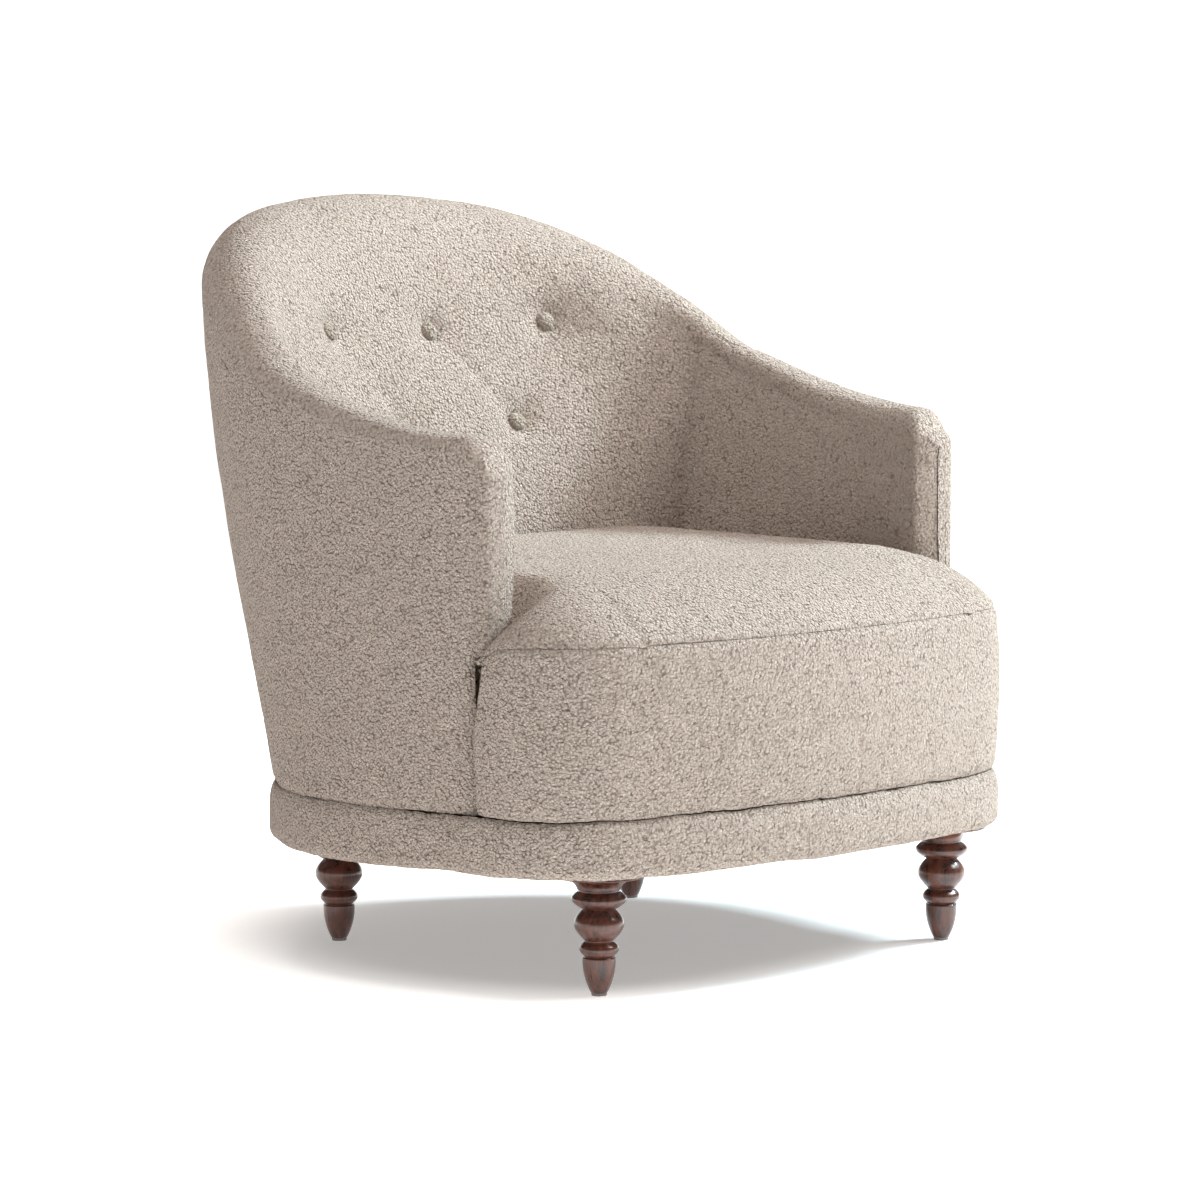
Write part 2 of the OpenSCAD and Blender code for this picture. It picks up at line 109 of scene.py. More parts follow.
def resample(line, n, closed=False):
    if closed:
        line = np.concatenate([line, line[:1]])
    d = running_length(line)
    t = np.linspace(0, d[-1], n + 1)[:n] if closed else np.linspace(0, d[-1], n)
    return np.stack([np.interp(t, d, line[:, k]) for k in range(line.shape[1])], -1)


def hermite(a, b, leave, arrive, t):
    """A curve from a to b, with its directions at both ends."""
    return (a * (2 * t ** 3 - 3 * t ** 2 + 1) + leave * (t ** 3 - 2 * t ** 2 + t)
            + b * (3 * t ** 2 - 2 * t ** 3) + arrive * (t ** 3 - t ** 2))


# ---------------------------------------------------------------- the shell, as in the CAD part
def back_height(p):
    """A smooth curve through BACK_LINE."""
    n = len(BACK_LINE)
    i = np.clip(np.searchsorted(BACK_LINE[:, 0], p, side="right") - 1, 0, n - 2)
    t = (p - BACK_LINE[i, 0]) / (BACK_LINE[i + 1, 0] - BACK_LINE[i, 0])
    a, b = BACK_LINE[np.maximum(i - 1, 0), 1], BACK_LINE[i, 1]
    c, d = BACK_LINE[i + 1, 1], BACK_LINE[np.minimum(i + 2, n - 1), 1]
    return .5 * (2 * b + (c - a) * t + (2 * a - 5 * b + 4 * c - d) * t * t + (3 * b - a - 3 * c + d) * t ** 3)


def foot(p):
    s, c = np.sin(np.radians(p)), np.cos(np.radians(p))
    r = 1 / np.sqrt((s / HALF_W) ** 2 + (c / np.where(p < 90, FRONT_R, REAR_R)) ** 2)
    return np.stack([r * s, -r * c], -1)


def foot_normal(p):
    f = foot(p)
    return unit(np.stack([f[..., 0] / HALF_W ** 2, f[..., 1] / np.where(p < 90, FRONT_R, REAR_R) ** 2], -1))


def across(p):
    """Direction through the shell's thickness: sideways at the arm's end, then square to the outline."""
    k = ease((p - ARM_END) / 12)[..., None]
    return unit(np.array([1., 0.]) * (1 - k) + foot_normal(p) * k)


def lean(p, z):
    """How far the shell's outside stands out from its foot: quickly at first, and upright at the top."""
    arm_dip = np.where(p < 120, 13 * np.sin(np.radians(3 * (p - 60))) ** 2, 0)
    top = LEAN * ease((p - 90) / 73) - arm_dip
    g = (z - FOOT_Z) / (TOP_Z - FOOT_Z)
    return top * (2.12 * g - 1.12 * g * g)


def ridge(p):
    """Height of the roll's top along the arm and the back."""
    nose = np.clip((p - ARM_END) * 7.2 + 2.2, 0, NOSE_R)        # mm past the arm's end
    rise = ARM_RISE * np.maximum((p - ARM_END) / 43, 0) ** 1.8
    arm = ARM_TOP_Z + rise - NOSE_R + np.sqrt(nose * (2 * NOSE_R - nose))
    kink = ease((p - 106) / 5)              # a soft kink where the back meets the arm
    return lerp(arm, back_height(np.maximum(p, ARM_SEAM)), kink)


def thickness(p):
    return 52 + 6 * ease((p - ARM_END) / 12) + 52 * ease((p - BACK_FROM) / BACK_OVER)


def roll_height(p):
    return 26 + 31 * ease((p - BACK_FROM) / BACK_OVER)


def inner_foot(p):
    t = (p - ARM_END) / (FOOT_SEAM - ARM_END)
    arm = np.stack([lerp(*INSIDE_X, t), lerp(*INSIDE_Y, t)], -1)
    x = INSIDE_X[1] * (180 - p) / (180 - FOOT_SEAM)
    back = np.stack([x, INSIDE_Y[1] + 25 * (1 - (x / INSIDE_X[1]) ** 2)], -1)
    return np.where((p < FOOT_SEAM)[..., None], arm, back)


def swell(p):
    """How far the padding bulges into the seat's room."""
    t = np.clip((p - FOOT_SEAM) / 45, 0, 1)
    return np.where(p < FOOT_SEAM, 3, 30 * np.sin(np.radians(90 * t)) ** .8)


def place(p, s, z):
    return np.concatenate([foot(p) + across(p) * s[..., None], z[..., None]], -1)


def surf(p, q):
    """The shell's surface: q 0 to 1 up the outside, 1 to 2 over the roll, 2 to 3 down the inside."""
    p, q = np.broadcast_arrays(np.asarray(p, float), np.asarray(q, float))
    roll_z = ridge(p) - roll_height(p)
    half = thickness(p) / 2
    squareness = lerp(.78, 1, ease((p - BACK_FROM) / 60))       # 1 is an even half round, less is squarer
    middle = lean(p, roll_z) - half
    z = lerp(FOOT_Z, roll_z, q)
    outside = place(p, lean(p, z), z)
    turn = np.pi * (np.clip(q, 1, 2) - 1)
    over = place(p, middle + half * signed_power(np.cos(turn), squareness),
                 roll_z + roll_height(p) * signed_power(np.maximum(np.sin(turn), 0), squareness))
    t = np.clip(q - 2, 0, 1.2)
    f = inner_foot(p)
    low = np.concatenate([f, np.full(f.shape[:-1] + (1,), INSIDE_FOOT_Z)], -1)
    inside = lerp(place(p, middle - half, roll_z), low, t[..., None])
    inside[..., :2] -= across(p) * (swell(p) * np.sin(np.pi * np.clip(t, 0, 1)))[..., None]
    return np.where((q <= 1)[..., None], outside, np.where((q <= 2)[..., None], over, inside))


def even_q(p, lo, hi, step):
    """Values of q spaced evenly in mm along the section at p."""
    q = np.linspace(lo, hi, 900)
    d = running_length(surf(np.full_like(q, p), q))
    return np.interp(np.linspace(0, d[-1], int(d[-1] / step) + 1), d, q)


def seam_at(q):
    """Angle of the seam between inside arm and inside back."""
    slant = lerp(ARM_SEAM, FOOT_SEAM, ease((q - 1.5) * 2))
    return np.where(q <= 1.5, ARM_SEAM, np.where(q <= 2, slant, FOOT_SEAM))


def half_turn(p):
    """Angles past the middle of the back as those of the other half, and which side each is on."""
    return np.where(p <= 180, p, 360 - p), np.where(p <= 180, 1, -1)


def front_line(a):
    """The seat's front outline, a from -1 to 1; beyond that, straight back along the side."""
    a = np.asarray(a, float)
    b, s = np.abs(a), np.sign(a)
    bow = np.radians((90 - CORNER_TURN) * np.clip(b, 0, CORNER_AT) / CORNER_AT)
    corner = np.radians(CORNER_TURN * (1 - (np.clip(b, CORNER_AT, 1) - CORNER_AT) / (1 - CORNER_AT)))
    x = np.where(b < CORNER_AT, BOW_R * np.sin(bow), CORNER_X + CORNER_R * np.cos(corner))
    y = np.where(b < CORNER_AT, BOW_Y - BOW_R * np.cos(bow), CORNER_Y - CORNER_R * np.sin(corner))
    y = np.where(b > 1, CORNER_Y + (b - 1) * 400, y)
    return np.stack([s * x, y], -1)


# ---------------------------------------------------------------- noise made in code
def hash3(c, seed):
    h = (c[..., 0] * 73856093) ^ (c[..., 1] * 19349663) ^ (c[..., 2] * 83492791) ^ (seed * 2654435761)
    out = []
    for _ in range(3):
        h = (h ^ (h >> 13)) * 1274126177 & 0xFFFFFFFF
        h = (h ^ (h >> 16)) * 2246822519 & 0xFFFFFFFF
        out.append((h & 0xFFFFFF) / 16777216.)
    return np.stack(out, -1)


def worley(P, cell, seed):
    """Distance to the nearest scattered point, in cells."""
    P = P.reshape(-1, 3) / cell
    base = np.floor(P).astype(np.int64)
    best = np.full(len(P), 9.)
    for i in (-1, 0, 1):
        for j in (-1, 0, 1):
            for k in (-1, 0, 1):
                c = base + np.array([i, j, k])
                best = np.minimum(best, ((c + hash3(c & 0xFFFF, seed) - P) ** 2).sum(-1))
    return np.sqrt(best)


def soft_noise(P, size, seed):
    """Smooth value noise, -1 to 1."""
    Q = P.reshape(-1, 3) / size
    b = np.floor(Q).astype(np.int64)
    f = Q - b
    f = f * f * (3 - 2 * f)
    v = 0
    for i in (0, 1):
        for j in (0, 1):
            for k in (0, 1):
                w = (f[:, 0] if i else 1 - f[:, 0]) * (f[:, 1] if j else 1 - f[:, 1])
                w = w * (f[:, 2] if k else 1 - f[:, 2])
                v = v + w * hash3((b + np.array([i, j, k])) & 0xFFFF, seed)[:, 0]
    return 2 * v - 1


# ---------------------------------------------------------------- cloth and meshes
PLAN = np.array([1, 1, 0])                  # leaves the height out of a noise
LOOP, LOOP_R = 4.8, .85                     # spacing of the cloth's loops, and their reach in that unit


def loops(points, spacing, reach, level, seed):
    """Round nubs on scattered points: their height over the ground between them, less level."""
    w = worley(points, spacing, seed)
    return np.sqrt(np.maximum(0, 1 - (w / reach) ** 2)) - level


def grid_normals(G, wrap=False):
    if wrap:
        E = np.concatenate([G[-1:], G, G[:1]])
        du = np.gradient(E, axis=0)[1:-1]
    else:
        du = np.gradient(G, axis=0)
    return unit(np.cross(du, np.gradient(G, axis=1)))


def edge_distance(G):
    """Distance in mm to the four borders: start and end of i, start and end of j."""
    dj = np.linalg.norm(np.diff(G, axis=1), axis=-1)
    cj = np.concatenate([np.zeros((len(G), 1)), np.cumsum(dj, 1)], 1)
    di = np.linalg.norm(np.diff(G, axis=0), axis=-1)
    ci = np.concatenate([np.zeros((1, G.shape[1])), np.cumsum(di, 0)], 0)
    return ci, ci[-1:] - ci, cj, cj[:, -1:] - cj


def fabric(G, tuck, width, nub=1., flip=False, wrap=False):
    """Adds the seams' tuck, slow unevenness and the loops of the cloth to a smooth grid.

    tuck is the depth that each border is drawn in by, at the start and end of i and then of j, over width."""
    N = grid_normals(G, wrap) * (-1 if flip else 1)
    d = np.zeros(G.shape[:2])
    for depth, e in zip(tuck, edge_distance(G)):
        if depth:
            d -= depth * near(e, width)
    G = G + N * d[..., None]
    plan = G * PLAN                         # the crease at the shell's foot wanders up and down
    wave = soft_noise(plan, 42., 71) + .5 * soft_noise(plan, 17., 72) + .45 * soft_noise(plan, 6., 73)
    G[..., 2] += 1.1 * wave.reshape(G.shape[:2]) * near(G[..., 2] - FOOT_Z, 20, 2)
    flat = G.reshape(-1, 3)
    n = .6 * (soft_noise(flat, 38., 6) + .6 * soft_noise(flat, 17., 10))
    n = n + nub * loops(flat, LOOP, LOOP_R, .55, 1)
    return G + N * n.reshape(G.shape[:2])[..., None]


def quads(rows, cols, wrap=False):
    idx = np.arange(rows * cols).reshape(rows, cols)
    if wrap:
        idx = np.concatenate([idx, idx[:1]])
    return np.stack([idx[:-1, :-1], idx[1:, :-1], idx[1:, 1:], idx[:-1, 1:]], -1).reshape(-1, 4)


def border(rows, cols):
    """The grid's border points in order, each once."""
    path = [(i, 0) for i in range(rows)] + [(rows - 1, j) for j in range(1, cols)]
    path += [(i, cols - 1) for i in range(rows - 2, -1, -1)] + [(0, j) for j in range(cols - 2, 0, -1)]
    return np.array(path).T


def new_piece(name, verts_mm, faces, mat):
    V = np.array(verts_mm, float)
    V[:, 1] -= ORIGIN_Y
    V /= 1000.
    me = bpy.data.meshes.new(name)
    n = faces.shape[1]
    me.vertices.add(len(V))
    me.vertices.foreach_set("co", V.ravel())
    me.loops.add(faces.size)
    me.loops.foreach_set("vertex_index", faces.ravel().astype(np.int32))
    me.polygons.add(len(faces))
    me.polygons.foreach_set("loop_start", np.arange(0, faces.size, n, dtype=np.int32))
    me.update(calc_edges=True)
    me.validate()
    me.polygons.foreach_set("use_smooth", np.ones(len(me.polygons), bool))
    me.materials.append(mat)
    ob = bpy.data.objects.new(name, me)
    bpy.context.scene.collection.objects.link(ob)
    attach(ob, "root")
    return ob


def mesh_from_grid(name, G, mat, flip=False, wrap=False, hem=6., reach=3., ends=None, painted_shade=None):
    """A grid as a piece. Its border turns in by hem and on by reach; ends gives both for the ends of i.

    The turned-in faces take the painted-shade material, where there is one: a dark copy of the cloth that
    paints the shade in the seams' gaps."""
    rows, cols = G.shape[:2]
    V = G.reshape(-1, 3)
    faces = quads(rows, cols, wrap)
    if hem and not wrap:
        ii, jj = border(rows, cols)
        N = grid_normals(G)[ii, jj] * (1 if flip else -1)
        edge = G[ii, jj]
        out = unit(edge - G[np.clip(ii, 1, rows - 2), np.clip(jj, 1, cols - 2)])
        n, k = len(edge), len(V)
        at_end = ((ii == 0) | (ii == rows - 1))[:, None]
        deep, far = ends or (hem, reach)
        turned = edge + N * np.where(at_end, deep, hem) + out * np.where(at_end, far, reach)
        V = np.concatenate([V, edge, turned])
        a = np.arange(n)
        b = (a + 1) % n
        faces = np.concatenate([faces, np.stack([k + a, k + n + a, k + n + b, k + b], -1)[:, ::-1]])
    if flip:
        faces = faces[:, ::-1]
    ob = new_piece(name, V, faces, mat)
    if painted_shade:
        ob.data.materials.append(painted_shade)
        total = len(ob.data.polygons)
        ob.data.polygons.foreach_set("material_index", (np.arange(total) >= total - n).astype(np.int32))
    return ob


def on_side(G, s):
    return G if s > 0 else G * MIRROR


# ---------------------------------------------------------------- materials
class Net:
    """A material with short calls for its nodes. Textures read the object's own coordinates, in metres."""

    def __init__(self, name):
        self.mat = bpy.data.materials.new(name)
        self.mat.use_nodes = True
        self.tree = self.mat.node_tree
        self.bsdf = self.tree.nodes["Principled BSDF"]
        self.co = self.node("ShaderNodeTexCoord").outputs["Object"]

    def node(self, kind, **settings):
        n = self.tree.nodes.new(kind)
        for k, v in settings.items():
            setattr(n, k, v)
        return n

    def put(self, node, name, val):
        s = node.inputs[name]
        if isinstance(val, bpy.types.NodeSocket):
            self.tree.links.new(val, s)
        else:
            s.default_value = val

    def set(self, **values):
        for k, v in values.items():
            self.put(self.bsdf, k.replace("_", " "), v)

    def math(self, op, a, b=0., c=0., clamp=False):
        n = self.node("ShaderNodeMath", operation=op, use_clamp=clamp)
        for i, v in enumerate((a, b, c)):
            self.put(n, i, v)
        return n.outputs[0]

    def times(self, a, b):
        return self.math("MULTIPLY", a, b)

    def add_times(self, a, b, c):
        return self.math("MULTIPLY_ADD", a, b, c)

    def vec(self, op, a, b):
        n = self.node("ShaderNodeVectorMath", operation=op)
        self.put(n, 0, a)
        self.put(n, 1, b)
        return n.outputs[0]

    def noise(self, scale, detail=2., rough=.5, co=None, out="Fac"):
        n = self.node("ShaderNodeTexNoise")
        self.put(n, "Vector", co or self.co)
        self.put(n, "Scale", scale)
        self.put(n, "Detail", detail)
        self.put(n, "Roughness", rough)
        return n.outputs[out]

    def voronoi(self, scale, co):
        n = self.node("ShaderNodeTexVoronoi", feature="F1")
        self.put(n, "Vector", co)
        self.put(n, "Scale", scale)
        return n.outputs

    def range(self, v, a, b, lo=0., hi=1.):
        n = self.node("ShaderNodeMapRange", interpolation_type="SMOOTHSTEP")
        for i, x in enumerate((v, a, b, lo, hi)):
            self.put(n, i, x)
        return n.outputs[0]

    def mix(self, f, a, b):
        """Colour a to colour b; the mix node's colour inputs are 6 and 7, and its colour output is 2."""
        n = self.node("ShaderNodeMix", data_type="RGBA")
        self.put(n, 0, f)
        for k, v in ((6, a), (7, b)):
            self.put(n, k, v if isinstance(v, bpy.types.NodeSocket) else (*v, 1.))
        return n.outputs[2]

    def bump(self, h, strength, dist):
        n = self.node("ShaderNodeBump")
        self.put(n, "Strength", strength)
        self.put(n, "Distance", dist)
        self.put(n, "Height", h)
        self.set(Normal=n.outputs[0])


# scales of the cloth's textures, in cells per metre
WARP_SCALE, LOOP_SCALE, FINE_SCALE, GRAIN_SCALE, PIT_SCALE = 300., 315., 680., 520., 150.


def boucle(name, light=(.855, .735, .648), mid=(.445, .33, .255), pit_shade_colour=(.15, .10, .066)):
    """Loops of yarn as warped cells: light on top, and mid in its grain; mid in between the loops and dark in
    a few pits are painted shade.
    """
    m = Net(name)
    bend = .0008
    warp = m.vec("SUBTRACT", m.noise(WARP_SCALE, 1., out="Color"), (.5, .5, .5))
    bent = m.vec("ADD", m.co, m.vec("MULTIPLY", warp, (bend, bend, bend)))
    cells = m.voronoi(LOOP_SCALE, bent)
    away = cells["Distance"]
    shade = m.node("ShaderNodeSeparateColor")
    m.put(shade, 0, cells["Color"])
    tint, size = shade.outputs[0], shade.outputs[1]
    fine = m.voronoi(FINE_SCALE, bent)["Distance"]
    grain = m.range(m.noise(GRAIN_SCALE, 2., .7), .38, .62)
    # Painted shade between the loops: the cells' edges darken towards mid, and a few pits at the corners
    # towards the dark colour.
    edge = m.range(away, .36, .72)
    pit_shade = m.times(m.range(away, .52, .70), m.range(m.noise(PIT_SCALE, 1.), .54, .62))

    dome = m.math("SUBTRACT", 1.02, m.times(m.times(away, away), 1.3), clamp=True)
    h = m.times(m.math("SQRT", dome), m.add_times(size, .7, .6))
    h = m.add_times(m.math("SUBTRACT", 1., fine), .24, h)
    h = m.add_times(grain, .16, h)

    # The first and the last mix paint the shade between the loops; grain and tint are the yarn's own tone.
    base = m.mix(m.times(edge, .40), light, mid)
    base = m.mix(m.times(grain, .40), base, mid)
    base = m.mix(m.times(tint, .20), base, mid)
    base = m.mix(m.times(pit_shade, .40), base, pit_shade_colour)
    m.set(Base_Color=base, Roughness=.95, Sheen_Weight=.08, Sheen_Roughness=.5, Specular_IOR_Level=.10)
    m.bump(h, 1., .0075)
    return m.mat


def wood(name):
    """Dark stained wood under a thin coat, with its grain and pores drawn out along the leg."""
    m = Net(name)
    grain = m.noise(160., 6., .62, m.vec("MULTIPLY", m.co, (1., 1., .13)))
    pores = m.noise(900., 2., .5, m.vec("MULTIPLY", m.co, (1., 1., .06)))
    c = m.mix(m.range(grain, .35, .68), (.030, .0085, .0055), (.135, .040, .022))
    c = m.mix(m.times(m.range(pores, .55, .70), .55), c, (.014, .005, .004))
    c = m.mix(m.times(m.range(m.noise(22., 2.), .4, .7), .35), c, (.19, .062, .032))
    m.set(Base_Color=c, Roughness=m.range(grain, .2, .8, .24, .38), Coat_Weight=.55, Coat_Roughness=.13)
    m.bump(pores, .12, .0004)
    return m.mat


def plain_stuff(name, a, b, scale, rough=.6, metal=0., stretch=(1., 1., 1.), bump=.2, dist=.0005):
    """Two close colours, a to b, in one noise that also sets the roughness and the bump."""
    m = Net(name)
    n = m.noise(scale, 5., .6, m.vec("MULTIPLY", m.co, stretch))
    shine = m.range(n, .3, .7, rough * .85, min(1., rough * 1.15))
    m.set(Base_Color=m.mix(m.range(n, .35, .65), a, b), Roughness=shine, Metallic=metal)
    m.bump(n, bump, dist)
    return m.mat


def cambric(name):
    """Thin black cloth with a plain weave."""
    m = Net(name)
    threads = []
    for way in ("X", "Y"):
        n = m.node("ShaderNodeTexWave", wave_type="BANDS", bands_direction=way)
        m.put(n, "Vector", m.co)
        m.put(n, "Scale", 260.)
        m.put(n, "Distortion", .6)
        threads.append(n.outputs["Fac"])
    h = m.add_times(m.noise(900., 2.), .4, m.times(*threads))
    m.set(Base_Color=m.mix(m.range(h, .2, 1.), (.006, .006, .0065), (.035, .034, .035)))
    m.set(Roughness=.9, Sheen_Weight=.1)
    m.bump(h, .6, .0004)
    return m.mat


CLOTH = boucle("boucle_cream")
# A dark brown copy of the cloth for the hems' turned-in faces: painted shade in the gaps of the seams.
PAINTED_SHADE_CLOTH = boucle("boucle_painted_shade", (.34, .25, .18), (.17, .12, .085), (.08, .055, .04))
BUTTON_CLOTH = boucle("boucle_button", (.76, .68, .58))
WOOD = wood("turned_wood")
PLY = plain_stuff("birch_ply", (.62, .46, .27), (.74, .60, .40), 60., .65, stretch=(1., .12, 1.))
TIMBER = plain_stuff("sawn_timber", (.52, .36, .19), (.66, .50, .30), 80., .75, stretch=(.15, 1., 1.),
                     bump=.4)
STEEL = plain_stuff("zinc_steel", (.50, .50, .49), (.66, .66, .64), 700., .34, 1.)
NYLON = plain_stuff("glide_nylon", (.17, .15, .14), (.24, .22, .20), 900., .5)
FELT = plain_stuff("needled_felt", (.30, .29, .26), (.46, .45, .41), 500., .95, bump=.7, dist=.001)
CAMBRIC = cambric("black_cambric")


# ---------------------------------------------------------------- arms
def inside_arms():
    q = even_q(85., COVER_Q, INSIDE_END_Q, STEP)
    t = np.linspace(0, 1, 150)
    p = lerp(ARM_END, seam_at(q)[None, :] + .12, t[:, None])
    cover = fabric(surf(p, np.broadcast_to(q, p.shape)), (0, 1.9, .2, 0), 3.)
    for side, s in SIDES:
        ob = mesh_from_grid("inside_arm_" + side, on_side(cover, s), CLOTH, flip=s < 0)
        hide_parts("inside_arm_cover_" + side, "arm_foam_" + side)


FACING_STEP = 2.2
FACING_FOOT_Z = 356                         # the apron's lower end, behind the seat's edge
FACING_OUT = 13.                            # how far the pad's middle stands forward of its rim
APRON_Q = 3.2                               # q given to the apron's points


def facing_rim():
    """The arm's front outline: up its outer side, over the roll and down, then straight down as an apron.

    With it comes q along the outline, which stays at APRON_Q on the apron."""
    q = even_q(ARM_END, .45, INSIDE_END_Q, FACING_STEP)
    rim = surf(np.full_like(q, ARM_END), q)
    z = np.arange(rim[-1, 2] - FACING_STEP, FACING_FOOT_Z, -FACING_STEP)
    apron = np.stack([np.full_like(z, rim[-1, 0]), np.full_like(z, rim[-1, 1]), z], -1)
    return np.concatenate([rim, apron]), np.concatenate([q, np.full_like(z, APRON_Q)])


def facing_pad():
    """The rim joined to the line half way between its two sides, and puffed forward in between."""
    rim, q = facing_rim()
    outer = q < 1.5
    roll_z = float(ridge(np.array(ARM_END)) - roll_height(np.array(ARM_END)))
    levels = np.linspace(400, roll_z, 12)
    x_out, _, z_out = rim[outer].T
    x_in, _, z_in = rim[q > 1.5][::-1].T
    half_way = .5 * (np.interp(levels, z_out, x_out) + np.interp(levels, z_in, x_in))
    mid_z = np.minimum(rim[:, 2], roll_z)
    mid = np.stack([np.interp(mid_z, levels, half_way), rim[:, 1], mid_z], -1)
    t = np.linspace(0, 1, 20) ** 1.4
    face = lerp(rim[:, None], mid[:, None], t[None, :, None])
    d = np.linalg.norm(face - rim[:, None], axis=-1)
    over_top = np.clip(np.abs(unit(np.gradient(rim, axis=0))[:, 0]), 0, 1)[:, None] ** 1.5
    reach = np.where(outer[:, None], 15., 40.)
    sudden = np.where(outer[:, None], .75, .2)      # the outer edge is crisp, the inner one is soft
    puff_side = sudden * np.sqrt(rounded(d / 5)) + (1 - sudden) * rounded(d / reach)
    face[..., 1] -= FACING_OUT * lerp(puff_side, rounded(d / 30), over_top)
    return face


def arm_facings():
    cover = fabric(facing_pad(), (.25, 0, 0, 0), 4.)
    for side, s in SIDES:
        ob = mesh_from_grid("arm_facing_pad_" + side, on_side(cover, s), CLOTH, flip=s < 0, hem=0)
        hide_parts("arm_facing_" + side)


# ---------------------------------------------------------------- inside back, with its buttons
SWEEP_Q = (1.5, 2.42)                       # the sweep replaces the section from the roll's top to here
INNER_Q = 1.9                               # the buttons' dents stay on this side of the roll
DENT, DENT_R = 16., 22.                     # depth and reach of the hollow round a button
PULL, PULL_R = 2., 13.                      # depth and half width of a pull
BUTTON_R, BUTTON_DOME = 11., 5.6            # a button's radius and the height of its dome
BUTTON_SUNK = 9.5                           # how deep the dome's middle lies under the undented back
NOWHERE = 1e9                               # distance given to points that don't count


def smooth_back(q):
    """The back's inside, with the step under the roll drawn into one sweep from roll to padding."""
    t = np.linspace(-1, 1, 401)
    p = lerp(180., seam_at(q)[None, :] - .12, np.abs(t)[:, None])
    back = surf(p, np.broadcast_to(q, p.shape))
    back[t < 0] *= MIRROR
    i, j = [np.argmin(np.abs(q - end)) for end in SWEEP_Q]
    a, b = back[:, i], back[:, j]
    size = np.linalg.norm(b - a, axis=-1)[:, None] * 1.05
    leave = unit(back[:, i + 2] - back[:, i - 2]) * size
    arrive = unit(back[:, j + 3] - back[:, j - 3]) * size
    sweep = hermite(a[:, None], b[:, None], leave[:, None], arrive[:, None],
                    np.linspace(0, 1, j - i + 1)[None, :, None])
    share = ease((p[:, i:i + 1] - (ARM_SEAM + 1)) / 26)[..., None]
    back[:, i:j + 1] = lerp(back[:, i:j + 1], sweep, share)
    soften = (ease((q - 1.55) / .25) * ease((2.75 - q) / .35))[None, :, None]
    for _ in range(160):
        e = back.copy()
        e[:, 1:-1] = .25 * back[:, :-2] + .5 * back[:, 1:-1] + .25 * back[:, 2:]
        back = lerp(back, e, soften)
    return back


def button_spots(back, N, inner):
    """The surface point and normal that lie nearest to each button's place."""
    spots = []
    for x, z in BUTTONS:
        d = np.where(inner, np.hypot(back[..., 0] - x, (back[..., 2] - z) * 1.05), NOWHERE)
        k = np.unravel_index(np.argmin(d), d.shape)
        spots.append((back[k].copy(), N[k].copy()))
    return spots


def button_dents(back, spots, inner):
    """Depth of the hollows round the buttons and of the pulls between neighbours."""
    dent = np.zeros(inner.shape)
    for spot, _ in spots:
        r = np.linalg.norm(back - spot, axis=-1)
        dent += np.where(inner, DENT * near(r, DENT_R, 1.1), 0)
    for i, j in PULLS:
        a, ab = spots[i][0], spots[j][0] - spots[i][0]
        t = np.clip(((back - a) @ ab) / (ab @ ab), 0, 1)
        r = np.linalg.norm(back - (a + t[..., None] * ab), axis=-1)
        dent += np.where(inner, PULL * near(r, PULL_R, 2) * np.sin(np.pi * t), 0)
    return dent


def inside_back():
    q = even_q(165., COVER_Q, BACK_END_Q, STEP)
    back = smooth_back(q)
    N = -grid_normals(back)                 # the grid's own normals point backwards, away from the seat
    inner = np.broadcast_to(q > INNER_Q, back.shape[:2])
    spots = button_spots(back, N, inner)
    back = back - N * button_dents(back, spots, inner)[..., None]
    cover = fabric(back, (1.9, 1.9, .2, 0), 3., flip=True)
    ob = mesh_from_grid("inside_back", cover, CLOTH, flip=True)
    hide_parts("inside_back_cover", "back_foam")
    return spots


def button(number, spot, n):
    """A cloth-covered dome that faces along n, open below and with a pinhole on top."""
    turn, down = np.meshgrid(np.linspace(0, 2 * np.pi, 49)[:-1], np.linspace(.04, 1, 16) * np.pi * .62,
                             indexing="ij")
    e1 = unit(np.cross(n, [0, 0, 1.]))
    e2 = np.cross(n, e1)
    middle = spot - n * BUTTON_SUNK
    ring = np.cos(turn)[..., None] * e1 + np.sin(turn)[..., None] * e2
    g = middle + BUTTON_R * np.sin(down)[..., None] * ring
    g = g + n * (BUTTON_DOME * np.cos(down))[..., None]
    nub = .6 * loops(g, 3.4, .9, .5, 6 + number).reshape(g.shape[:2])
    g = g + unit(g - middle) * nub[..., None]
    faces = quads(*g.shape[:2], wrap=True)[:, ::-1]
    ob = new_piece("button_%d" % number, g.reshape(-1, 3), faces, BUTTON_CLOTH)
    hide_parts("tuft_button_%d" % number)


